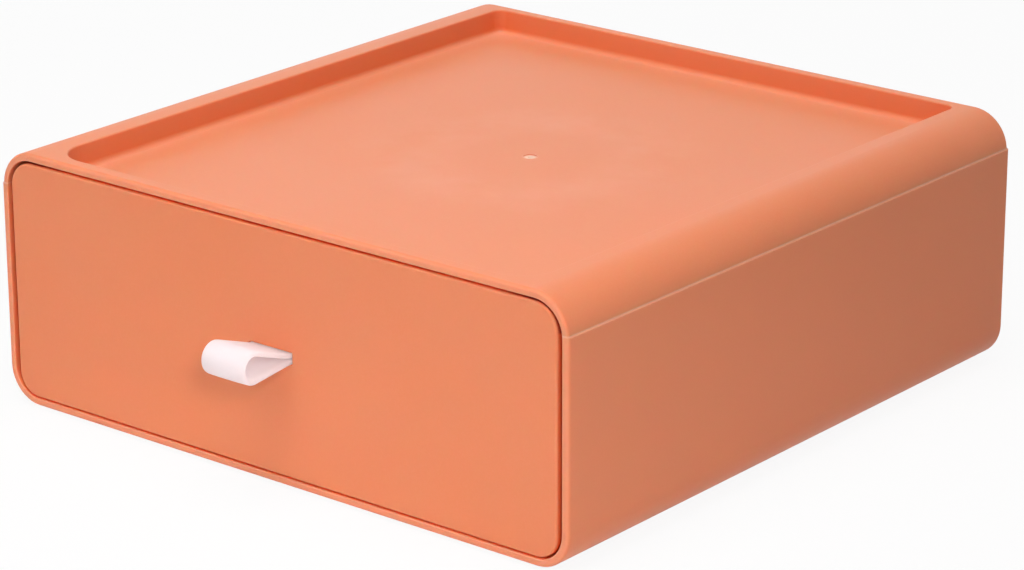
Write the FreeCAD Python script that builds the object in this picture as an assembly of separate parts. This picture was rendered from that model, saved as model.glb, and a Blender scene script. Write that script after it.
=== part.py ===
import FreeCAD, Part
import math
import os

os.makedirs("parts", exist_ok=True)

Vec = FreeCAD.Vector

# A flat desktop box with a shallow tray in its top and one full-width drawer on a strap pull.
# Sizes are millimetres. X runs across the box, Y from the drawer front to the back, Z up.
# While it is built, Y is 0 at the case's front rim and Z is 0 on the table.

# Case and cover
case_width = 250.0
case_depth = 251.5
case_height = 92.5  # from the case's underside to the top face, without the feet
wall = 2.8
top_radius = 14.0  # long upper edges of the outside
bottom_radius = 13.0  # long lower edges of the outside
mouth_rounding = 0.4  # inner edge of the front rim
rim_land = 0.8  # flat left on the cover's front rim; its outer edge is rounded over the rest
back_rounding = 1.6
seam_drop = 12.8  # from the top face down to the joint of cover and case
seam_step = 0.35  # the cover stands back this far from the case, whose edge is bevelled as much

# Lip of the cover, which locates in the case and snaps behind its walls
lip_depth = 3.5
lip_thickness = 1.2
lip_clearance = 0.1
lip_front = 6.0  # the lip starts this far behind the front rim
catch_width = 12.0
catch_height = 1.2
catch_bite = 0.6
catch_rise = 0.8  # above the lip's lower edge
catch_clearance = 0.3
side_catch_places = (0.28, 0.72)  # shares of the case's depth
back_catch_spacing = 120.0

# Tray in the cover
tray_side_rim = 20.0  # from the case's side to the tray's mouth
tray_depth = 8.8
tray_wall = 2.4
tray_floor = 2.5
tray_front_radius = 13.0
tray_back_radius = 4.0
tray_draft = 0.5  # how far each wall leans in from mouth to floor
tray_floor_rounding = 2.0
tray_mouth_rounding = 0.6
tray_rib_count = 4
tray_rib_width = 1.6
tray_rib_height = 2.4
tray_rib_spacing = 60.0
tray_rib_margin = 12.0  # clear of the tray's front and back walls
gate_x = 7.0  # the moulding mark in the tray, from the middle of the box
gate_y = 127.0
gate_dish_radius = 2.6
gate_dish_depth = 0.25
gate_nub_radius = 0.9
gate_nub_tip_radius = 0.6
gate_nub_height = 0.4

# Drawer front
panel_thickness = 2.5
panel_side_gap = 1.9
panel_top_gap = 0.9
panel_bottom_gap = 0.5
panel_back_gap = 0.5  # to the tray's front wall behind it
panel_rounding = 0.9

# Drawer tub
tub_wall = 2.2
tub_floor = 2.0
tub_side_gap = 2.7  # to the case's inner wall
tub_top_gap = 5.2  # to the underside of the tray
tub_back_gap = 9.2  # to the case's back wall
tub_corner_step = 0.5  # upright corners are this much rounder than the lower edges
tub_edge_rounding = 0.6

# Runners, side guides and stops
runner_width = 3.0
runner_height = 1.0
runner_spacing = 140.0
runner_front = 5.0  # runners and guides start this far behind the front rim
running_gap = 0.2
guide_level = 30.0  # middle of the side guides above the case's floor
guide_height = 3.0
guide_gap = 0.4
drawer_travel = 190.0
stop_width = 14.0
stop_thickness = 2.4
stop_spacing = 120.0
stop_overlap = 2.8
stop_gap = 0.3
ear_gap = 0.8  # above the ears on the tub's back wall
ear_root = 4.0
bumper_spacing = 160.0
bumper_height = 50.0

# Strap pull
strap_width = 19.0
strap_thickness = 2.1
strap_slit = 0.1  # between the two layers where they go through the slot
strap_reach = 23.6  # how far the loop stands out in front of the drawer
strap_level = 45.7  # middle of the slot above the case's underside
strap_loop_radius = 5.9  # outer radius of the loop's round end
strap_loop_rise = 1.9  # middle of the round end above the slot
strap_upper_bend = 5.5
strap_lower_bend = 20.0
strap_fold_radius = 1.3
strap_flap = 10.0
slot_clearance = 0.1
slot_flare = 0.5  # bevel where the slot opens behind the front
block_width = 30.0
block_height = 30.0
block_depth = 3.0
block_rounding = 3.0
block_clearance = 0.5
plate_width = 26.0
plate_height = 26.0
plate_thickness = 1.6
plate_rounding = 3.0

# Screws
strap_screw_offset = 7.4  # from the slot's middle, up and down
panel_screw_spread_x = 190.0
panel_screw_spread_z = 40.0
panel_screw_level = 36.0  # middle of the four screws above the tub's underside
panel_skin = 0.8  # left in front of each pilot hole
boss_radius = 2.7
boss_clearance = 0.2
boss_recess = 0.1  # boss lies this far below the tub wall, so the head clamps the wall
pilot_radius = 1.3
shank_radius = 1.25
hole_radius = 1.7  # where a screw passes through strap and plate
head_seat = 1.3  # width of the ring on which a head bears
head_height = 1.8
head_rounding = 1.0
tip_gap = 0.3
cross_length = 3.4
cross_width = 0.7
cross_depth = 1.0

# Feet
foot_radius = 7.0
foot_proud = 1.0
foot_sunk = 1.0
foot_side_inset = 31.0
foot_end_inset = 22.0
foot_clearance = 0.15
foot_chamfer = 0.4

# Every cut runs this far past the surface that it opens
past = 1.0

# Places worked out from the sizes above
half_width = case_width / 2
underside = foot_proud
top = underside + case_height
seam = top - seam_drop
rim_rounding = wall - seam_step - mouth_rounding - rim_land
inner_half_width = half_width - wall
inner_floor = underside + wall
inner_roof = top - wall
inner_back = case_depth - wall
inner_top_radius = top_radius - wall
inner_bottom_radius = bottom_radius - wall
tray_front_rim = panel_thickness + panel_back_gap + tray_wall
tray_back_rim = wall + tray_wall
tray_half_width = half_width - tray_side_rim
tray_level = top - tray_depth
tray_underside = tray_level - tray_floor
panel_half_width = inner_half_width - panel_side_gap
panel_bottom = inner_floor + panel_bottom_gap
panel_top = inner_roof - panel_top_gap
tub_half_width = inner_half_width - tub_side_gap
tub_front = panel_thickness
tub_back = inner_back - tub_back_gap
tub_bottom = inner_floor + runner_height + running_gap
tub_top = tray_underside - tub_top_gap
tub_bottom_radius = inner_bottom_radius - tub_side_gap
tub_corner_radius = tub_bottom_radius + tub_corner_step
ear_top = tray_underside - ear_gap
stop_back = tub_back - tub_wall - drawer_travel - stop_gap
strap_middle = underside + strap_level
block_back = panel_thickness + block_depth
plate_front = block_back + strap_thickness
head_radius = boss_radius + boss_clearance + head_seat
centre_y = (case_depth - strap_reach) / 2


def rounded_edges(corners, radii, place):
    """Closed chain of lines and arcs through flat corners, each rounded by its radius."""
    count = len(corners)
    joints = []
    for index in range(count):
        here = Vec(*corners[index], 0)
        before = Vec(*corners[index - 1], 0)
        after = Vec(*corners[(index + 1) % count], 0)
        arriving = (here - before).normalize()
        leaving = (after - here).normalize()
        radius = radii[index]
        if radius == 0:
            joints.append((here, None, here))
            continue
        setback = radius * math.tan(arriving.getAngle(leaving) / 2)
        start = here - arriving * setback
        end = here + leaving * setback
        inward = (leaving - arriving).normalize()
        to_centre = math.hypot(radius, setback)
        middle = here + inward * (to_centre - radius)
        joints.append((start, middle, end))
    edges = []
    for index in range(count):
        start, middle, end = joints[index]
        if middle is not None:
            edges.append(Part.Arc(place(start), place(middle), place(end)).toShape())
        edges.append(Part.makeLine(place(end), place(joints[(index + 1) % count][0])))
    return edges


def upright_prism(half, low, high, low_radius, high_radius, front, back):
    """Bar along Y whose section is a rectangle with rounded corners."""
    corners = [(-half, low), (half, low), (half, high), (-half, high)]
    radii = [low_radius, low_radius, high_radius, high_radius]
    edges = rounded_edges(corners, radii, lambda p: Vec(p.x, front, p.y))
    return Part.Face(Part.Wire(edges)).extrude(Vec(0, back - front, 0))


def plan_wire(half, front, back, front_radius, back_radius, level):
    """Rounded rectangle seen from above."""
    corners = [(-half, front), (half, front), (half, back), (-half, back)]
    radii = [front_radius, front_radius, back_radius, back_radius]
    return Part.Wire(rounded_edges(corners, radii, lambda p: Vec(p.x, p.y, level)))


def plan_prism(half, front, back, front_radius, back_radius, low, high):
    """Upright block whose plan is a rounded rectangle."""
    outline = plan_wire(half, front, back, front_radius, back_radius, low)
    return Part.Face(outline).extrude(Vec(0, 0, high - low))


def box(x_low, x_high, y_low, y_high, z_low, z_high):
    """Plain block between six planes."""
    size = (x_high - x_low, y_high - y_low, z_high - z_low)
    return Part.makeBox(*size, Vec(x_low, y_low, z_low))


def rod(radius, x, z, y_low, y_high):
    """Cylinder along Y."""
    return Part.makeCylinder(radius, y_high - y_low, Vec(x, y_low, z), Vec(0, 1, 0))


def edges_at_y(shape, y):
    """Edges that lie in one upright plane across the box."""
    return [e for e in shape.Edges if abs(e.BoundBox.YMin - y) < 1e-4 and abs(e.BoundBox.YMax - y) < 1e-4]


def edges_at_z(shape, z):
    """Edges that lie in one level plane."""
    return [e for e in shape.Edges if abs(e.BoundBox.ZMin - z) < 1e-4 and abs(e.BoundBox.ZMax - z) < 1e-4]


def both_sides(shape):
    """A shape and its mirror image on the other side of the box."""
    return [shape, shape.mirror(Vec(0, 0, 0), Vec(1, 0, 0))]


def foot_places():
    """Middle of each foot, by its name."""
    x = half_width - foot_side_inset
    rows = (("front", foot_end_inset), ("rear", case_depth - foot_end_inset))
    return {f"{row}_{side}": (sign * x, y) for row, y in rows for side, sign in (("left", -1), ("right", 1))}


def catch_boxes(reach, spare):
    """Blocks for the cover's snap catches, or for their pockets with some room to spare."""
    low = seam - lip_depth + catch_rise - spare
    high = low + catch_height + 2 * spare
    half = catch_width / 2 + spare
    root = lip_clearance + lip_thickness / 2
    blocks = []
    for share in side_catch_places:
        y = share * case_depth
        block = box(inner_half_width - root, inner_half_width + reach, y - half, y + half, low, high)
        blocks.extend(both_sides(block))
    for x in (-back_catch_spacing / 2, back_catch_spacing / 2):
        blocks.append(box(x - half, x + half, inner_back - root, inner_back + reach, low, high))
    return blocks


def outer_shell(set_in):
    """Closed outside as one open-fronted tube with a back, its sides and back set in a little."""
    half = half_width - set_in
    back = case_depth - set_in
    outside = upright_prism(half, underside, top, bottom_radius, top_radius, 0, back)
    outside = outside.makeFillet(back_rounding, edges_at_y(outside, back))
    outside = outside.makeFillet(rim_rounding, edges_at_y(outside, 0))
    hollow = upright_prism(
        inner_half_width, inner_floor, inner_roof, inner_bottom_radius, inner_top_radius, 0, inner_back
    )
    shell = outside.cut(hollow)
    mouth = [e for e in edges_at_y(shell, 0) if e.BoundBox.XMax <= inner_half_width + 1e-4
             and e.BoundBox.XMin >= -inner_half_width - 1e-4
             and e.BoundBox.ZMin >= inner_floor - 1e-4 and e.BoundBox.ZMax <= inner_roof + 1e-4]
    return shell.makeFillet(mouth_rounding, mouth)


def seam_bevel():
    """Ring that bevels the case's outer edge where the cover stands back on it."""
    rise = max(0.0, top_radius - seam_drop)
    half = half_width - top_radius + math.sqrt(top_radius**2 - rise**2)
    low = seam - 2 * seam_step
    wires = []
    for level, grow in ((low, seam_step), (seam, -seam_step)):
        wires.append(plan_wire(half + grow, -past, case_depth + grow, 0, back_rounding + grow, level))
    around = box(-half_width - past, half_width + past, -past, case_depth + past, low, seam)
    return around.cut(Part.makeLoft(wires, True, True))


def make_case_body():
    """Floor, sides and back, with runners, guides, closing stops and pockets."""
    body = outer_shell(0).common(box(-half_width, half_width, 0, case_depth, underside, seam))
    body = body.cut(seam_bevel())
    added = []
    runner_half = runner_width / 2
    runner_x = runner_spacing / 2
    runner = box(
        runner_x - runner_half, runner_x + runner_half, runner_front, inner_back + wall / 2,
        inner_floor - wall / 2, inner_floor + runner_height,
    )
    guide_middle = inner_floor + guide_level
    guide = box(
        tub_half_width + guide_gap, inner_half_width + wall / 2, runner_front, inner_back + wall / 2,
        guide_middle - guide_height / 2, guide_middle + guide_height / 2,
    )
    bumper_x = bumper_spacing / 2
    bumper = box(
        bumper_x - stop_thickness / 2, bumper_x + stop_thickness / 2, tub_back + stop_gap,
        inner_back + wall / 2, inner_floor - wall / 2, inner_floor + bumper_height,
    )
    for shape in (runner, guide, bumper):
        added.extend(both_sides(shape))
    body = body.fuse(added).removeSplitter()
    pockets = catch_boxes(catch_bite + catch_clearance, catch_clearance)
    for x, y in foot_places().values():
        radius = foot_radius + foot_clearance
        pockets.append(Part.makeCylinder(radius, foot_sunk, Vec(x, y, underside)))
    return body.cut(pockets)


def tray_cutter():
    """The hollow of the tray, a little narrower at its floor."""
    slope = tray_draft / tray_depth
    wires = []
    for level, grow in ((tray_level, -tray_draft), (top + past, slope * past)):
        wires.append(plan_wire(
            tray_half_width + grow, tray_front_rim - grow, case_depth - tray_back_rim + grow,
            tray_front_radius + grow, tray_back_radius + grow, level,
        ))
    hollow = Part.makeLoft(wires, True, True)
    return hollow.makeFillet(tray_floor_rounding, edges_at_z(hollow, tray_level))


def cover_lip():
    """Ring that hangs from the cover just inside the case's walls, open at the front."""
    outer = lip_clearance
    inner = lip_clearance + lip_thickness
    hang = plan_prism(
        inner_half_width - outer, lip_front, inner_back - outer, 0, 0, seam - lip_depth, seam
    ).cut(plan_prism(
        inner_half_width - inner, 0, inner_back - inner, 0, 0, seam - lip_depth, seam
    ))
    bend = top - top_radius
    root_rise = math.sqrt(inner_top_radius**2 - (inner_top_radius - inner - lip_thickness / 4) ** 2)
    root = plan_prism(
        half_width - wall / 2, lip_front, case_depth - wall / 2, 0, 0, seam, bend + root_rise
    ).cut(plan_prism(
        inner_half_width - inner, 0, inner_back - inner, 0, 0, seam, bend + root_rise
    ))
    return [hang, root]


def make_top_cover():
    """Top face with its tray, the rounded shoulders and the skirt down to the seam."""
    cover = outer_shell(seam_step).common(box(-half_width, half_width, 0, case_depth, seam, top))
    tray_block = plan_prism(
        tray_half_width + tray_wall, tray_front_rim - tray_wall, inner_back + wall / 2,
        tray_front_radius + tray_wall, 0, tray_underside, inner_roof + wall / 2,
    )
    outside = upright_prism(
        half_width - wall / 2, underside, top - wall / 2, bottom_radius, top_radius - wall / 2,
        0, case_depth - wall / 2,
    )
    added = [tray_block]
    for piece in cover_lip():
        added.append(piece.common(outside))
    added.extend(catch_boxes(catch_bite, 0))
    rib_front = tray_front_rim + tray_rib_margin
    rib_back = case_depth - tray_back_rim - tray_rib_margin
    for index in range(tray_rib_count):
        x = (index - (tray_rib_count - 1) / 2) * tray_rib_spacing
        added.append(box(
            x - tray_rib_width / 2, x + tray_rib_width / 2, rib_front, rib_back,
            tray_underside - tray_rib_height, tray_underside + tray_floor / 2,
        ))
    stop_x = stop_spacing / 2
    stop = box(
        stop_x - stop_width / 2, stop_x + stop_width / 2, stop_back - stop_thickness, stop_back,
        ear_top - stop_overlap, tray_underside + tray_floor / 2,
    )
    added.extend(both_sides(stop))
    cover = cover.fuse(added).cut(tray_cutter()).removeSplitter()
    mouth = [e for e in edges_at_z(cover, top)
             if abs(e.CenterOfMass.x) < tray_half_width + 0.5
             and tray_front_rim - 0.5 < e.CenterOfMass.y < case_depth - tray_back_rim + 0.5]
    cover = cover.makeFillet(tray_mouth_rounding, mouth)
    gate = Vec(gate_x, gate_y, tray_level - gate_dish_depth)
    dish = Part.makeCylinder(gate_dish_radius, gate_dish_depth + past, gate)
    nub = Part.makeCone(gate_nub_radius, gate_nub_tip_radius, gate_nub_height, gate)
    return cover.cut(dish).fuse(nub)


def strap_hole_rods(radius, low, high):
    """Cylinders on the lines of the two strap screws."""
    return [rod(radius, 0, strap_middle + sign * strap_screw_offset, low, high) for sign in (-1, 1)]


def panel_screw_places():
    """X and Z of the four screws that hold the drawer front."""
    level = tub_bottom + panel_screw_level
    half_x = panel_screw_spread_x / 2
    half_z = panel_screw_spread_z / 2
    return [(x, level + z) for x in (-half_x, half_x) for z in (-half_z, half_z)]


def block_prism(spare, front, back):
    """The thick block round the strap's slot, or the window that it goes through."""
    middle = strap_middle
    corners = [
        (-block_width / 2 - spare, middle - block_height / 2 - spare),
        (block_width / 2 + spare, middle - block_height / 2 - spare),
        (block_width / 2 + spare, middle + block_height / 2 + spare),
        (-block_width / 2 - spare, middle + block_height / 2 + spare),
    ]
    edges = rounded_edges(corners, [block_rounding + spare] * 4, lambda p: Vec(p.x, front, p.y))
    return Part.Face(Part.Wire(edges)).extrude(Vec(0, back - front, 0))


def strap_slot():
    """The slot for both layers of the strap, flared behind, where they fold apart."""
    half_width = strap_width / 2 + slot_clearance
    half_height = strap_thickness + strap_slit / 2 + slot_clearance
    wide = half_height + slot_flare
    profile = [
        (-past, -half_height), (block_back - slot_flare, -half_height), (block_back, -wide),
        (block_back + past, -wide), (block_back + past, wide), (block_back, wide),
        (block_back - slot_flare, half_height), (-past, half_height),
    ]
    points = [Vec(-half_width, y, strap_middle + z) for y, z in profile]
    outline = Part.makePolygon(points + points[:1])
    return Part.Face(outline).extrude(Vec(2 * half_width, 0, 0))


def make_drawer_front():
    """Flush front panel with the strap's slot, its block and the screw bosses."""
    panel = upright_prism(
        panel_half_width, panel_bottom, panel_top, inner_bottom_radius - panel_side_gap,
        inner_top_radius - panel_side_gap, 0, panel_thickness,
    )
    panel = panel.makeFillet(panel_rounding, edges_at_y(panel, 0))
    boss_back = panel_thickness + tub_wall - boss_recess
    added = [block_prism(0, panel_thickness / 2, block_back)]
    removed = strap_hole_rods(pilot_radius, panel_skin, block_back)
    for x, z in panel_screw_places():
        added.append(rod(boss_radius, x, z, panel_thickness / 2, boss_back))
        removed.append(rod(pilot_radius, x, z, panel_skin, boss_back))
    removed.append(strap_slot())
    return panel.fuse(added).removeSplitter().cut(removed)


def make_drawer_tub():
    """Open box behind the drawer front, with ears on its back wall that meet the stops."""
    outside = plan_prism(
        tub_half_width, tub_front, tub_back, tub_corner_radius, tub_corner_radius, tub_bottom, tub_top
    )
    outside = outside.makeFillet(tub_bottom_radius, edges_at_z(outside, tub_bottom))
    inner_radius = tub_corner_radius - tub_wall
    inside = plan_prism(
        tub_half_width - tub_wall, tub_front + tub_wall, tub_back - tub_wall, inner_radius,
        inner_radius, tub_bottom + tub_floor, tub_top + past,
    )
    inside = inside.makeFillet(tub_bottom_radius - tub_wall, edges_at_z(inside, tub_bottom + tub_floor))
    tub = outside.cut(inside)
    tub = tub.makeFillet(tub_edge_rounding, edges_at_z(tub, tub_top))
    ear_x = stop_spacing / 2
    ear_half = stop_width / 2
    ear = box(
        ear_x - ear_half, ear_x + ear_half, tub_back - tub_wall, tub_back, tub_top - ear_root, ear_top
    )
    tub = tub.fuse(both_sides(ear)).removeSplitter()
    removed = [block_prism(block_clearance, 0, tub_front + tub_wall + past)]
    for x, z in panel_screw_places():
        removed.append(rod(boss_radius + boss_clearance, x, z, 0, tub_front + tub_wall + past))
    return tub.cut(removed)


def polar(centre, radius, degrees):
    """Point at a distance and an angle from a flat centre."""
    angle = math.radians(degrees)
    return (centre[0] + radius * math.cos(angle), centre[1] + radius * math.sin(angle))


def strap_bends():
    """Middle line of the strap as its five bends: centre, radius, first and last angle, turn."""
    half = strap_thickness / 2
    upper = strap_middle + strap_slit / 2 + half
    lower = strap_middle - strap_slit / 2 - half
    flap_y = block_back + half
    fold = strap_fold_radius
    loop = strap_loop_radius - half
    end = (strap_loop_radius - strap_reach, strap_middle + strap_loop_rise)
    bend_up = (0.0, upper + strap_upper_bend)
    bend_down = (0.0, lower - strap_lower_bend)
    rise = math.atan2(end[1] - bend_up[1], end[0] - bend_up[0]) % (2 * math.pi)
    span = math.dist(end, bend_up)
    climb = math.degrees(rise - math.asin((loop + strap_upper_bend) / span))
    fall = math.atan2(end[1] - bend_down[1], end[0] - bend_down[0])
    drop_span = math.dist(end, bend_down)
    sink = math.degrees(fall - math.pi + math.asin((loop + strap_lower_bend) / drop_span))
    return [
        ((flap_y - fold, upper + fold), fold, 0, -90, -1),
        (bend_up, strap_upper_bend, -90, climb - 270, -1),
        (end, loop, climb - 90, sink + 270, 1),
        (bend_down, strap_lower_bend, sink + 90, 90, -1),
        ((flap_y - fold, lower - fold), fold, 90, 0, -1),
    ]


def strap_side(offset):
    """Points of the arcs along one face of the strap."""
    arcs = []
    for centre, radius, first, last, turn in strap_bends():
        reach = radius + turn * offset
        arcs.append([polar(centre, reach, first + (last - first) * share) for share in (0, 0.5, 1)])
    return arcs


def make_pull_strap():
    """One flat strap folded into a loop, with both ends through the slot and folded flat."""
    half = strap_thickness / 2
    half_slit = strap_slit / 2
    top_end = strap_middle + half_slit + strap_flap
    low_end = strap_middle - half_slit - strap_flap

    def place(point):
        return Vec(-strap_width / 2, point[0], point[1])

    edges = []
    chains = []
    for offset in (half, -half):
        arcs = strap_side(offset)
        y = arcs[0][0][0]
        points = [(y, top_end)]
        chain = []
        for arc in arcs:
            chain.append(Part.makeLine(place(points[-1]), place(arc[0])))
            chain.append(Part.Arc(*[place(p) for p in arc]).toShape())
            points.append(arc[2])
        chain.append(Part.makeLine(place(points[-1]), place((y, low_end))))
        edges.extend(chain)
        chains.append((points[0], (y, low_end)))
    for index in (0, 1):
        edges.append(Part.makeLine(place(chains[0][index]), place(chains[1][index])))
    outline = Part.Wire(Part.__sortEdges__(edges))
    strap = Part.Face(outline).extrude(Vec(strap_width, 0, 0))
    return strap.cut(strap_hole_rods(hole_radius, block_back - past, plate_front + past))


def make_strap_plate():
    """Flat plate that clamps the folded ends of the strap."""
    corners = [
        (-plate_width / 2, strap_middle - plate_height / 2),
        (plate_width / 2, strap_middle - plate_height / 2),
        (plate_width / 2, strap_middle + plate_height / 2),
        (-plate_width / 2, strap_middle + plate_height / 2),
    ]
    edges = rounded_edges(corners, [plate_rounding] * 4, lambda p: Vec(p.x, plate_front, p.y))
    plate = Part.Face(Part.Wire(edges)).extrude(Vec(0, plate_thickness, 0))
    plate_back = plate_front + plate_thickness
    return plate.cut(strap_hole_rods(hole_radius, plate_front - past, plate_back + past))


def make_screw(x, z, seat):
    """Pan-head screw along Y, with its head on the drawer's inside."""
    tip = panel_skin + tip_gap
    shank = rod(shank_radius, x, z, tip, seat)
    point = [e for e in shank.Edges if abs(e.CenterOfMass.y - tip) < 1e-4 and e.Length > 1]
    shank = shank.makeChamfer(shank_radius / 2, point)
    head = rod(head_radius, x, z, seat, seat + head_height)
    crown = [e for e in head.Edges
             if abs(e.CenterOfMass.y - seat - head_height) < 1e-4 and e.Length > 1]
    head = head.makeFillet(head_rounding, crown)
    long = cross_length / 2
    slim = cross_width / 2
    low = seat + head_height - cross_depth
    high = seat + head_height + past
    cross = [
        box(x - long, x + long, low, high, z - slim, z + slim),
        box(x - slim, x + slim, low, high, z - long, z + long),
    ]
    return shank.fuse(head).cut(cross)


def make_strap_screws():
    """The two screws through the clamp plate."""
    seat = plate_front + plate_thickness
    places = [strap_middle + sign * strap_screw_offset for sign in (-1, 1)]
    return Part.makeCompound([make_screw(0, z, seat) for z in places])


def make_panel_screws():
    """The four screws through the tub's front wall."""
    seat = tub_front + tub_wall
    return Part.makeCompound([make_screw(x, z, seat) for x, z in panel_screw_places()])


def make_foot(x, y):
    """Round pad seated in its pocket under the case."""
    pad = Part.makeCylinder(foot_radius, foot_proud + foot_sunk, Vec(x, y, underside - foot_proud))
    return pad.makeChamfer(foot_chamfer, edges_at_z(pad, underside - foot_proud))


nodes = {
    "case_body": make_case_body(),
    "top_cover": make_top_cover(),
    "drawer_tub": make_drawer_tub(),
    "drawer_front": make_drawer_front(),
    "panel_screws": make_panel_screws(),
    "pull_strap": make_pull_strap(),
    "strap_plate": make_strap_plate(),
    "strap_screws": make_strap_screws(),
}
for name, (x, y) in foot_places().items():
    nodes[f"foot_{name}"] = make_foot(x, y)

for name, shape in nodes.items():
    shape.translate(Vec(0, -centre_y, 0))
    shape.exportStep(f"parts/{name}.step")
    print(name, len(shape.Solids), "solids", round(shape.Volume / 1000, 2), "cm3", shape.isValid())
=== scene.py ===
import math

import bmesh
import bpy
from mathutils import Matrix, Vector


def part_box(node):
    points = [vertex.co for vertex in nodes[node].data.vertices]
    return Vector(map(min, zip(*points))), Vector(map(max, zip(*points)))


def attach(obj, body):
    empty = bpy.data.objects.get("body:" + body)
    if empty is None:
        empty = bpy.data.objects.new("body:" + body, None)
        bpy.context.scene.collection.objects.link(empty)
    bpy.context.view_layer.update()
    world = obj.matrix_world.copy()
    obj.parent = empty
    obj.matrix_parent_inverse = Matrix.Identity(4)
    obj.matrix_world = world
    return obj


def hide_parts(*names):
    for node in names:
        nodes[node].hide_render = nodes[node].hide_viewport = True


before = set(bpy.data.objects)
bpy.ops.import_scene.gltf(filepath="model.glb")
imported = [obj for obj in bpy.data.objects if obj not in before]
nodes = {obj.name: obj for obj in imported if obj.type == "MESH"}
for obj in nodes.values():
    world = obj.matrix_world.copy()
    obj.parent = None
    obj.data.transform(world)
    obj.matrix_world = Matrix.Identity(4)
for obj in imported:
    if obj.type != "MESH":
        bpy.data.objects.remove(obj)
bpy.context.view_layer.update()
scene = bpy.context.scene
mm = 0.001

# Places that the pieces share, read from the frame
caseLow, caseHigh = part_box("case_body")
coverLow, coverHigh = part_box("top_cover")
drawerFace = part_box("drawer_front")[0][1]  # Y
strapLow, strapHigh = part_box("pull_strap")
slotLevel = (strapLow[2] + strapHigh[2]) / 2
seamLevel = coverHigh[2] - 12.8 * mm  # where the cover meets the case


# Small helpers for node trees

def newMaterial(name):
    material = bpy.data.materials.new(name)
    material.use_nodes = True
    material.node_tree.nodes.clear()
    return material, material.node_tree


def addNode(tree, kind, inputs=None, **settings):
    node = tree.nodes.new(kind)
    for key, value in settings.items():
        setattr(node, key, value)
    for key, value in (inputs or {}).items():
        socket = node.inputs[key]
        if isinstance(value, bpy.types.NodeSocket):
            tree.links.new(value, socket)
        else:
            socket.default_value = value
    return node


def nodeMath(tree, operation, first, second):
    return addNode(tree, "ShaderNodeMath", {0: first, 1: second}, operation=operation).outputs[0]


def product(tree, *shares):
    result = shares[0]
    for share in shares[1:]:
        result = nodeMath(tree, "MULTIPLY", result, share)
    return result


def mapRange(tree, value, fromLow, fromHigh, toLow, toHigh, smooth=False):
    node = addNode(
        tree, "ShaderNodeMapRange",
        {"Value": value, "From Min": fromLow, "From Max": fromHigh, "To Min": toLow, "To Max": toHigh},
        interpolation_type="SMOOTHSTEP" if smooth else "LINEAR",
    )
    return node.outputs[0]


def mixColour(tree, share, first, second, blendType="MIX"):
    node = addNode(tree, "ShaderNodeMix", data_type="RGBA", blend_type=blendType)
    for socket, value in ((node.inputs[0], share), (node.inputs[6], first), (node.inputs[7], second)):
        if isinstance(value, bpy.types.NodeSocket):
            tree.links.new(value, socket)
        else:
            socket.default_value = value
    return node.outputs[2]


def noiseAt(tree, place, perMetre, detail=2.0, roughness=0.5):
    node = addNode(
        tree, "ShaderNodeTexNoise",
        {"Vector": place, "Scale": perMetre, "Detail": detail, "Roughness": roughness},
    )
    return node.outputs["Fac"]


def bumpFrom(tree, place, perMetre, height, detail=1.0, roughness=0.5, below=None):
    relief = noiseAt(tree, place, perMetre, detail, roughness)
    inputs = {"Height": relief, "Distance": height, "Strength": 1.0}
    if below is not None:
        inputs["Normal"] = below
    return addNode(tree, "ShaderNodeBump", inputs).outputs["Normal"]


# Moulded plastic of case, cover and drawer

mouldedLook = {
    "colour": (0.80, 0.238, 0.102, 1.0),
    "paleToneAndHighlight": (0.97, 0.52, 0.39, 1.0),  # pale tone of flow marks and specks; also painted highlight on edges, rim and seam line, and painted light on the floor along walls
    "cloudsPerMetre": 9.0,
    "cloudShare": 0.05,
    "specksPerMetre": 1400.0,
    "speckShare": 0.025,
    "roughness": 0.47,
    "roughnessSpread": 0.05,
    "gloss": 0.3,
    "grainPerMetre": 3200.0,
    "grainHeight": 0.012 * mm,
    "wavePerMetre": 14.0,
    "waveHeight": 0.05 * mm,
    "edgeRadius": 0.9 * mm,
    # share of painted highlight on rounded outer edges
    "edgeHighlightShare": 0.5,
    "gapBounceShade": (0.95, 0.13, 0.022, 1.0),  # painted shade and red bounce light in a narrow gap
    "gapCornerShade": (0.40, 0.014, 0.002, 1.0),  # the same painted shade, darker, in the upper corners of the gap
    "cornerInner": caseHigh[0] - 32.0 * mm,
    "cornerOuter": caseHigh[0] - 15.0 * mm,
    "deepReach": 6.5 * mm,
    "gapShadeShare": 1.0,
    "seamBlend": 0.4 * mm,
    "wall": (0.80, 0.165, 0.045, 1.0),  # painted bounce light and shade on upright walls of a hollow, which light each other
    "wallReach": 14.0 * mm,
    "wallBounceShare": 0.7,
    "footLightShare": 0.3,  # painted light on the floor along those walls
    "glow": 0.45,  # share of light that scatters inside the plastic
    "glowRadius": (4.0 * mm, 1.1 * mm, 0.45 * mm),
}


# The case and its cover get a painted highlight on the front rim and a fine painted highlight line where
# they meet
shellLook = {
    **mouldedLook,
    "rimHighlightShare": 0.15,
    "rimDepth": 2.5 * mm,
    "seamHighlightShare": 0.2,
    "seamHalf": 0.3 * mm,
}


def edgeMask(tree, radius):
    rounded = addNode(tree, "ShaderNodeBevel", {"Radius": radius}, samples=6)
    flat = addNode(tree, "ShaderNodeNewGeometry")
    turn = addNode(
        tree, "ShaderNodeVectorMath",
        {0: rounded.outputs["Normal"], 1: flat.outputs["Normal"]}, operation="DOT_PRODUCT",
    )
    return mapRange(tree, turn.outputs["Value"], 0.995, 0.86, 0.0, 1.0)


def openness(tree, reach, ownOnly=False):
    return addNode(
        tree, "ShaderNodeAmbientOcclusion", {"Distance": reach}, samples=8, only_local=ownOnly
    ).outputs["AO"]


def facing(tree, axis):
    normal = addNode(tree, "ShaderNodeNewGeometry").outputs["Normal"]
    return addNode(tree, "ShaderNodeSeparateXYZ", {0: normal}).outputs[axis]


def uprightMask(tree):
    return mapRange(tree, nodeMath(tree, "ABSOLUTE", facing(tree, "Z"), 0.0), 0.5, 0.97, 1.0, 0.0)


# painted shade and red bounce light for narrow gaps, darker in the upper corners
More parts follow.
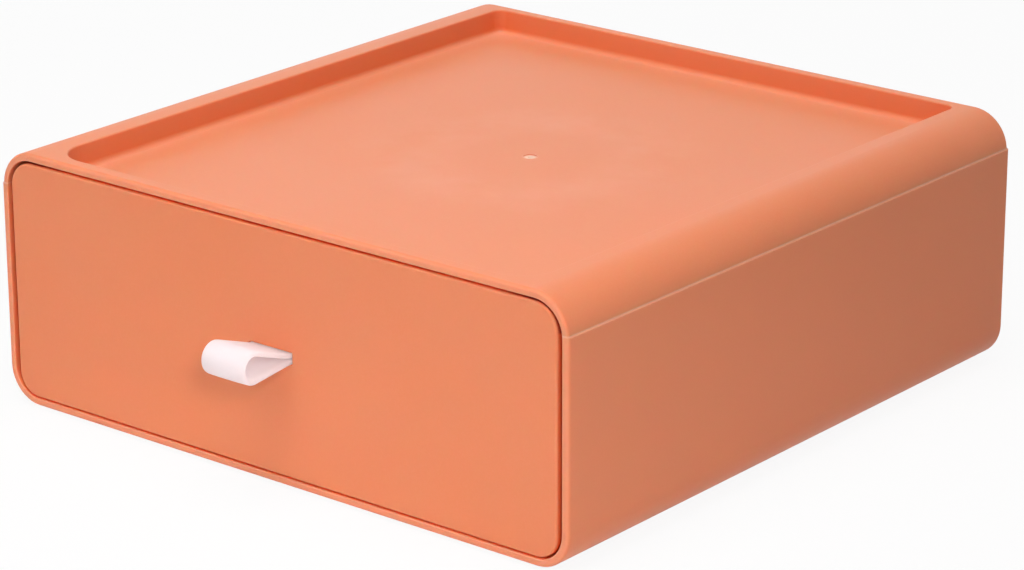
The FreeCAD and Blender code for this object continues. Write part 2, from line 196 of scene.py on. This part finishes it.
def gapShadeColour(tree, parts, look):
    blend = look["seamBlend"]
    high = mapRange(tree, parts["Z"], seamLevel - blend, seamLevel + blend, 0.0, 1.0)
    beside = nodeMath(tree, "ABSOLUTE", parts["X"], 0.0)
    outer = mapRange(tree, beside, look["cornerInner"], look["cornerOuter"], 0.0, 1.0, True)
    return mixColour(tree, product(tree, high, outer), look["gapBounceShade"], look["gapCornerShade"])


def addShellHighlights(tree, parts, colour, look):
    # painted highlight on the front-facing rim and along the seam line
    inFront = nodeMath(tree, "LESS_THAN", parts["Y"], caseLow[1] + look["rimDepth"])
    rim = mapRange(tree, facing(tree, "Y"), -0.5, -0.9, 0.0, look["rimHighlightShare"])
    colour = mixColour(tree, product(tree, rim, inFront), colour, look["paleToneAndHighlight"])
    offLine = nodeMath(tree, "ABSOLUTE", nodeMath(tree, "SUBTRACT", parts["Z"], seamLevel), 0.0)
    line = mapRange(tree, offLine, look["seamHalf"], look["seamHalf"] * 0.6, 0.0, look["seamHighlightShare"])
    return mixColour(tree, line, colour, look["paleToneAndHighlight"])


def makeMoulded(name, look, marks=None):
    material, tree = newMaterial(name)
    place = addNode(tree, "ShaderNodeTexCoord").outputs["Object"]
    parts = addNode(tree, "ShaderNodeSeparateXYZ", {0: place}).outputs
    clouds = noiseAt(tree, place, look["cloudsPerMetre"], 3.0)
    specks = noiseAt(tree, place, look["specksPerMetre"], 1.0)
    cloudShare = mapRange(tree, clouds, 0.35, 0.65, 0.0, look["cloudShare"])
    speckShare = mapRange(tree, specks, 0.4, 0.7, 0.0, look["speckShare"])
    near = openness(tree, look["deepReach"])
    outward = mapRange(tree, near, 0.45, 0.8, 0.0, look["edgeHighlightShare"])  # leaves out inner corners
    # painted highlight on rounded outer edges
    edgeHighlightShare = product(tree, edgeMask(tree, look["edgeRadius"]), outward)
    gapShadeShare = mapRange(tree, near, 0.45, 0.15, 0.0, look["gapShadeShare"])
    enclosed = mapRange(tree, openness(tree, look["wallReach"], True), 0.95, 0.5, 0.0, 1.0)
    upright = uprightMask(tree)
    level = nodeMath(tree, "SUBTRACT", 1.0, upright)
    colour = mixColour(tree, cloudShare, look["colour"], look["paleToneAndHighlight"])
    colour = mixColour(tree, speckShare, colour, look["paleToneAndHighlight"])
    # painted bounce light and shade on enclosed upright walls, then painted light on the floor along them
    colour = mixColour(tree, product(tree, enclosed, upright, look["wallBounceShare"]), colour, look["wall"])
    colour = mixColour(tree, product(tree, enclosed, level, look["footLightShare"]), colour, look["paleToneAndHighlight"])
    colour = mixColour(tree, edgeHighlightShare, colour, look["paleToneAndHighlight"])
    if "rimHighlightShare" in look:
        colour = addShellHighlights(tree, parts, colour, look)
    # painted shade in narrow gaps
    colour = mixColour(tree, gapShadeShare, colour, gapShadeColour(tree, parts, look))
    if marks:
        colour = marks(tree, place, colour)
    spread = look["roughnessSpread"]
    roughness = mapRange(
        tree, clouds, 0.3, 0.7, look["roughness"] - spread, look["roughness"] + spread
    )
    wave = bumpFrom(tree, place, look["wavePerMetre"], look["waveHeight"])
    grain = bumpFrom(tree, place, look["grainPerMetre"], look["grainHeight"], 2.0, 0.6, wave)
    shader = addNode(tree, "ShaderNodeBsdfPrincipled", {
        "Base Color": colour, "Roughness": roughness, "IOR": 1.49, "Normal": grain,
        "Specular IOR Level": look["gloss"], "Subsurface Weight": look["glow"],
        "Subsurface Radius": look["glowRadius"], "Subsurface Scale": 1.0,
    })
    addNode(tree, "ShaderNodeOutputMaterial", {"Surface": shader.outputs["BSDF"]})
    return material


# Pale gate scar and flow blush in the middle of the tray

gateMarks = {
    "x": 7.0 * mm,
    "y": coverLow[1] + 127.0 * mm,
    "scarColour": (0.95, 0.66, 0.50, 1.0),
    "scarRadius": 2.7 * mm,
    "scarShare": 0.85,
    "blushColour": (0.93, 0.50, 0.40, 1.0),
    "blushInner": 18.0 * mm,
    "blushPeak": 38.0 * mm,
    "blushOuter": 75.0 * mm,
    "blushShare": 0.12,
    "lowest": coverHigh[2] - 9.5 * mm,  # the marks are only on the tray's floor
}


def addGateMarks(tree, place, colour):
    look = gateMarks
    offset = addNode(
        tree, "ShaderNodeVectorMath", {0: place, 1: (look["x"], look["y"], 0.0)}, operation="SUBTRACT"
    ).outputs[0]
    flat = addNode(
        tree, "ShaderNodeVectorMath", {0: offset, 1: (1.0, 1.0, 0.0)}, operation="MULTIPLY"
    ).outputs[0]
    reach = addNode(tree, "ShaderNodeVectorMath", {0: flat}, operation="LENGTH").outputs["Value"]
    level = addNode(tree, "ShaderNodeSeparateXYZ", {0: place}).outputs["Z"]
    above = nodeMath(tree, "GREATER_THAN", level, look["lowest"])
    rise = mapRange(tree, reach, look["blushInner"], look["blushPeak"], 0.0, 1.0, True)
    fall = mapRange(tree, reach, look["blushPeak"], look["blushOuter"], 1.0, 0.0, True)
    streaks = mapRange(tree, noiseAt(tree, offset, 26.0, 3.0, 0.6), 0.38, 0.66, 0.0, look["blushShare"])
    blush = product(tree, rise, fall, streaks)
    scar = mapRange(tree, reach, look["scarRadius"], look["scarRadius"] * 0.5, 0.0, look["scarShare"], True)
    colour = mixColour(tree, product(tree, blush, above), colour, look["blushColour"])
    return mixColour(tree, product(tree, scar, above), colour, look["scarColour"])


# Soft white strap, zinc screws and rubber feet

strapFinish = {
    "colour": (0.94, 0.91, 0.93, 1.0),
    "shade": (0.88, 0.83, 0.85, 1.0),
    "cloudsPerMetre": 120.0,
    "cloudShare": 0.12,
    "roughness": 0.55,
    "grainPerMetre": 5200.0,
    "grainHeight": 0.015 * mm,
    "glow": 1.0,  # share of light that scatters inside
    "glowRadius": (5.0 * mm, 4.6 * mm, 4.6 * mm),
    "through": 0.5,  # share of light that passes the thin strap
}


def makeStrapFinish():
    look = strapFinish
    material, tree = newMaterial("strapSoft")
    place = addNode(tree, "ShaderNodeTexCoord").outputs["Object"]
    clouds = noiseAt(tree, place, look["cloudsPerMetre"], 2.0)
    cloudShare = mapRange(tree, clouds, 0.35, 0.7, 0.0, look["cloudShare"])
    grain = bumpFrom(tree, place, look["grainPerMetre"], look["grainHeight"])
    shader = addNode(tree, "ShaderNodeBsdfPrincipled", {
        "Base Color": mixColour(tree, cloudShare, look["colour"], look["shade"]),
        "Roughness": look["roughness"], "IOR": 1.45, "Normal": grain,
        "Subsurface Weight": look["glow"], "Subsurface Radius": look["glowRadius"], "Subsurface Scale": 1.0,
    })
    through = addNode(tree, "ShaderNodeBsdfTranslucent", {"Color": look["colour"]})
    both = addNode(
        tree, "ShaderNodeMixShader", {0: look["through"], 1: shader.outputs["BSDF"], 2: through.outputs[0]}
    )
    addNode(tree, "ShaderNodeOutputMaterial", {"Surface": both.outputs[0]})
    return material


screwFinish = {
    "colour": (0.60, 0.60, 0.61, 1.0),
    "dull": (0.42, 0.42, 0.43, 1.0),
    "worn": (0.78, 0.78, 0.79, 1.0),  # edges
    "roughness": 0.32,
    "scratchesPerMetre": 900.0,
    "edgeRadius": 0.25 * mm,
}


def makeScrewFinish():
    look = screwFinish
    material, tree = newMaterial("screwZinc")
    place = addNode(tree, "ShaderNodeTexCoord").outputs["Object"]
    stretched = addNode(
        tree, "ShaderNodeVectorMath", {0: place, 1: (1.0, 0.15, 1.0)}, operation="MULTIPLY"
    ).outputs[0]
    scratches = noiseAt(tree, stretched, look["scratchesPerMetre"], 4.0, 0.7)
    colour = mixColour(tree, mapRange(tree, scratches, 0.45, 0.7, 0.0, 0.6), look["colour"], look["dull"])
    colour = mixColour(tree, edgeMask(tree, look["edgeRadius"]), colour, look["worn"])
    roughness = mapRange(tree, scratches, 0.3, 0.7, look["roughness"] - 0.08, look["roughness"] + 0.12)
    shader = addNode(tree, "ShaderNodeBsdfPrincipled", {
        "Base Color": colour, "Metallic": 1.0, "Roughness": roughness,
    })
    addNode(tree, "ShaderNodeOutputMaterial", {"Surface": shader.outputs["BSDF"]})
    return material


footFinish = {
    "colour": (0.66, 0.65, 0.62, 1.0),
    "dust": (0.50, 0.48, 0.45, 1.0),
    "roughness": 0.7,
    "grainPerMetre": 2600.0,
    "grainHeight": 0.03 * mm,
}


def makeFootFinish():
    look = footFinish
    material, tree = newMaterial("footRubber")
    place = addNode(tree, "ShaderNodeTexCoord").outputs["Object"]
    dust = mapRange(tree, noiseAt(tree, place, 300.0, 4.0, 0.6), 0.45, 0.75, 0.0, 0.7)
    grain = bumpFrom(tree, place, look["grainPerMetre"], look["grainHeight"])
    shader = addNode(tree, "ShaderNodeBsdfPrincipled", {
        "Base Color": mixColour(tree, dust, look["colour"], look["dust"]),
        "Roughness": look["roughness"], "Normal": grain,
    })
    addNode(tree, "ShaderNodeOutputMaterial", {"Surface": shader.outputs["BSDF"]})
    return material


print("stage: finishes")
caseFinish = makeMoulded("caseMoulded", shellLook)
coverFinish = makeMoulded("coverMoulded", shellLook, addGateMarks)
drawerFinish = makeMoulded("drawerMoulded", mouldedLook)
screwSteel = makeScrewFinish()
footRubber = makeFootFinish()

finishOfNode = {
    "case_body": caseFinish,
    "top_cover": coverFinish,
    "drawer_tub": drawerFinish,
    "drawer_front": drawerFinish,
    "strap_plate": drawerFinish,
    "panel_screws": screwSteel,
    "strap_screws": screwSteel,
    "foot_front_left": footRubber,
    "foot_front_right": footRubber,
    "foot_rear_left": footRubber,
    "foot_rear_right": footRubber,
}
for name, finish in finishOfNode.items():
    for materialSlot in nodes[name].material_slots:
        materialSlot.material = finish


# Strap pull: one soft strap folded into a loop, both ends through the slot and screwed flat behind it

strap = {
    "width": strapHigh[0] - strapLow[0],
    "thickness": 2.1 * mm,
    "slit": 0.1 * mm,
    "reach": drawerFace - strapLow[1],
    "flapBack": strapHigh[1] - drawerFace,  # rear face of the folded ends
    "foldRadius": 1.3 * mm,
    "upperBend": 5.5 * mm,
    "lowerBend": 20.0 * mm,
    "loopRise": 1.9 * mm,
    "loopRadius": 5.9 * mm,  # outer
    "columns": 8,
    "edgeThinning": 0.86,  # the strap is a little thinner along its edges
    "edgeRounding": 0.88 * mm,
    "holeRadius": 1.7 * mm,
    "holeOffset": 7.4 * mm,
    "holeDepth": 4.0 * mm,
    "bendStep": 7,  # degrees
    "edgeAngle": 50,
}


def arcOf(centre, radius, first, last):
    return {"centre": centre, "radius": radius, "first": first, "last": last}


def strapArcs():
    half = strap["thickness"] / 2
    upper = strap["slit"] / 2 + half
    fold = strap["foldRadius"]
    flapY = strap["flapBack"] - half
    loop = strap["loopRadius"] - half
    endY, endZ = strap["loopRadius"] - strap["reach"], strap["loopRise"]
    span = math.hypot(endY, endZ - upper - strap["upperBend"])
    rise = math.atan2(endZ - upper - strap["upperBend"], endY) % (2 * math.pi)
    climb = math.degrees(rise - math.asin((loop + strap["upperBend"]) / span))
    dropSpan = math.hypot(endY, endZ + upper + strap["lowerBend"])
    fall = math.atan2(endZ + upper + strap["lowerBend"], endY)
    sink = math.degrees(fall - math.pi + math.asin((loop + strap["lowerBend"]) / dropSpan))
    return [
        arcOf((flapY - fold, upper + fold), fold, 0, -90),
        arcOf((0.0, upper + strap["upperBend"]), strap["upperBend"], -90, climb - 270),
        arcOf((endY, endZ), loop, climb - 90, sink + 270),
        arcOf((0.0, -upper - strap["lowerBend"]), strap["lowerBend"], sink + 90, 90),
        arcOf((flapY - fold, -upper - fold), fold, 90, 0),
    ]


def makeStrap():
    bm = bmesh.new()
    half = strap["width"] / 2
    flapY = strap["flapBack"] - strap["thickness"] / 2
    flapZ = (strapHigh[2] - strapLow[2]) / 2
    ends = [bm.verts.new((x, flapY, flapZ)) for x in (-half, half)]
    first = bm.edges.new(ends)
    bmesh.ops.subdivide_edges(bm, edges=[first], cuts=strap["columns"] - 1)
    row = list(bm.edges)

    def rowVerts():
        return list({v for e in row for v in e.verts})

    def extrudeTo(y, z, cuts):
        nonlocal row
        here = rowVerts()[0].co.copy()
        for _ in range(cuts):
            made = bmesh.ops.extrude_edge_only(bm, edges=row)["geom"]
            row = [g for g in made if isinstance(g, bmesh.types.BMEdge)]
            bmesh.ops.translate(bm, verts=rowVerts(), vec=(0, (y - here.y) / cuts, (z - here.z) / cuts))

    for arc in strapArcs():
        centreY, centreZ = arc["centre"]
        start = math.radians(arc["first"])
        turn = math.radians(arc["last"] - arc["first"])
        y = centreY + arc["radius"] * math.cos(start)
        z = centreZ + arc["radius"] * math.sin(start)
        extrudeTo(y, z, 3)
        steps = max(6, int(abs(turn) / math.radians(strap["bendStep"])))
        made = bmesh.ops.spin(
            bm, geom=row, cent=(0, centreY, centreZ), axis=(1, 0, 0), dvec=(0, 0, 0), angle=turn,
            steps=steps, use_merge=False, use_duplicate=False,
        )
        row = [g for g in made["geom_last"] if isinstance(g, bmesh.types.BMEdge)]
    extrudeTo(flapY, -flapZ, 3)
    bmesh.ops.remove_doubles(bm, verts=bm.verts, dist=1e-6)
    bmesh.ops.recalc_face_normals(bm, faces=bm.faces)
    bmesh.ops.translate(bm, verts=bm.verts, vec=(0, drawerFace, slotLevel))
    mesh = bpy.data.meshes.new("strap_loop")
    bm.to_mesh(mesh)
    bm.free()
    for face in mesh.polygons:
        face.use_smooth = True
    piece = bpy.data.objects.new("strap_loop", mesh)
    scene.collection.objects.link(piece)
    crown = piece.vertex_groups.new(name="crown")
    for vertex in mesh.vertices:
        across = abs(vertex.co.x) / half
        crown.add([vertex.index], 1 - across ** 3, "REPLACE")
    wall = piece.modifiers.new("wall", "SOLIDIFY")
    wall.thickness = strap["thickness"]
    wall.offset = 0
    wall.vertex_group = "crown"
    wall.thickness_vertex_group = strap["edgeThinning"]
    soft = piece.modifiers.new("soft", "BEVEL")
    soft.width = strap["edgeRounding"]
    soft.segments = 3
    soft.limit_method = "ANGLE"
    soft.angle_limit = math.radians(strap["edgeAngle"])
    return piece


def applyModifiers(piece):
    depsgraph = bpy.context.evaluated_depsgraph_get()
    made = bpy.data.meshes.new_from_object(piece.evaluated_get(depsgraph))
    piece.modifiers.clear()
    piece.data = made


def cutHoles(piece):
    bm = bmesh.new()
    for side in (-1, 1):
        turn = Matrix.Rotation(math.radians(90), 4, "X")
        move = Matrix.Translation((0, strapHigh[1], slotLevel + side * strap["holeOffset"]))
        bmesh.ops.create_cone(
            bm, cap_ends=True, segments=32, radius1=strap["holeRadius"], radius2=strap["holeRadius"],
            depth=strap["holeDepth"], matrix=move @ turn,
        )
    mesh = bpy.data.meshes.new("holes")
    bm.to_mesh(mesh)
    bm.free()
    cutter = bpy.data.objects.new("holes", mesh)
    scene.collection.objects.link(cutter)
    cut = piece.modifiers.new("holes", "BOOLEAN")
    cut.operation = "DIFFERENCE"
    cut.solver = "EXACT"
    cut.object = cutter
    applyModifiers(piece)
    bpy.data.objects.remove(cutter)


print("stage: strap")
strapPiece = makeStrap()
applyModifiers(strapPiece)
cutHoles(strapPiece)
strapPiece.data.materials.clear()
strapPiece.data.materials.append(makeStrapFinish())
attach(strapPiece, "drawer")
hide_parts("pull_strap")


# Floor, world and lamps

studio = {
    "floorSize": 8.0,
    "floorColour": (0.80, 0.80, 0.80, 1.0),
    "floorSeen": 0.92,  # share of plain white in what the camera sees of the floor
    "world": (1.0, 1.0, 1.0, 1.0),
    "worldLevel": 0.165,
    "aim": (0.0, 0.0, 0.045),
}
lamps = {
    "keyLamp": {"place": (-0.3, -2.1, 1.5), "size": 2.0, "power": 18.5},
    "overheadLamp": {"place": (0.2, -0.3, 2.2), "size": 1.8, "power": 31.5},
    "rightLamp": {
        "place": (1.0, -0.95, 0.75), "size": 0.3, "power": 0.41,
        "aim": (0.13, -0.33, 0.05), "spread": 34.0,  # a narrow beam on the near corner
    },
    "rearLamp": {"place": (-1.5, 1.7, 1.0), "size": 1.2, "power": 2.0},
}


def cameraSees(tree):
    path = addNode(tree, "ShaderNodeLightPath")
    seen = nodeMath(tree, "MAXIMUM", path.outputs["Is Camera Ray"], path.outputs["Is Glossy Ray"])
    return nodeMath(tree, "MAXIMUM", seen, path.outputs["Is Transmission Ray"])


def makeFloor():
    bm = bmesh.new()
    bmesh.ops.create_grid(bm, x_segments=1, y_segments=1, size=studio["floorSize"] / 2)
    mesh = bpy.data.meshes.new("floor")
    bm.to_mesh(mesh)
    bm.free()
    floor = bpy.data.objects.new("floor", mesh)
    scene.collection.objects.link(floor)
    material, tree = newMaterial("floorPaper")
    matte = addNode(tree, "ShaderNodeBsdfDiffuse", {"Color": studio["floorColour"]})
    white = addNode(tree, "ShaderNodeEmission", {"Color": studio["world"], "Strength": 1.0})
    share = nodeMath(tree, "MULTIPLY", cameraSees(tree), studio["floorSeen"])
    both = addNode(tree, "ShaderNodeMixShader", {0: share, 1: matte.outputs[0], 2: white.outputs[0]})
    addNode(tree, "ShaderNodeOutputMaterial", {"Surface": both.outputs[0]})
    mesh.materials.append(material)


def makeWorld():
    world = bpy.data.worlds.new("studio")
    world.use_nodes = True
    tree = world.node_tree
    tree.nodes.clear()
    strength = mapRange(tree, cameraSees(tree), 0.0, 1.0, studio["worldLevel"], 1.0)
    sky = addNode(tree, "ShaderNodeBackground", {"Color": studio["world"], "Strength": strength})
    addNode(tree, "ShaderNodeOutputWorld", {"Surface": sky.outputs[0]})
    scene.world = world


def makeLamp(name, look):
    light = bpy.data.lights.new(name, "AREA")
    light.shape = "DISK"
    light.size = look["size"]
    light.energy = look["power"]
    light.spread = math.radians(look.get("spread", 180.0))
    aim = look.get("aim", studio["aim"])
    lamp = bpy.data.objects.new(name, light)
    lamp.location = look["place"]
    lamp.rotation_mode = "QUATERNION"
    lamp.rotation_quaternion = (Vector(aim) - Vector(look["place"])).to_track_quat("-Z", "Y")
    scene.collection.objects.link(lamp)


print("stage: studio")
makeFloor()
makeWorld()
for name, look in lamps.items():
    makeLamp(name, look)
scene.view_settings.view_transform = "Standard"


# Camera at the photograph's place

photoCamera = {
    "place": (0.8079, -0.8627, 0.4836),  # from the middle of the case's lower front edge
    "turn": 39.27,  # degrees to the left of straight ahead
    "dip": 19.36,
    "roll": -0.15,
    "sensor": 36.0,
    "lens": 134.5,
}


def makeCamera():
    data = bpy.data.cameras.new("photoCamera")
    data.sensor_fit = "HORIZONTAL"
    data.sensor_width = photoCamera["sensor"]
    data.lens = photoCamera["lens"]
    data.clip_start = 0.05
    data.clip_end = 50.0
    camera = bpy.data.objects.new("photoCamera", data)
    turn = Matrix.Rotation(math.radians(photoCamera["turn"]), 4, "Z")
    dip = Matrix.Rotation(math.radians(90 - photoCamera["dip"]), 4, "X")
    roll = Matrix.Rotation(math.radians(photoCamera["roll"]), 4, "Z")
    foot = Vector(((caseLow[0] + caseHigh[0]) / 2, caseLow[1], caseLow[2]))
    camera.matrix_world = Matrix.Translation(foot + Vector(photoCamera["place"])) @ turn @ dip @ roll
    scene.collection.objects.link(camera)
    scene.camera = camera


makeCamera()
print("stage: bounds")
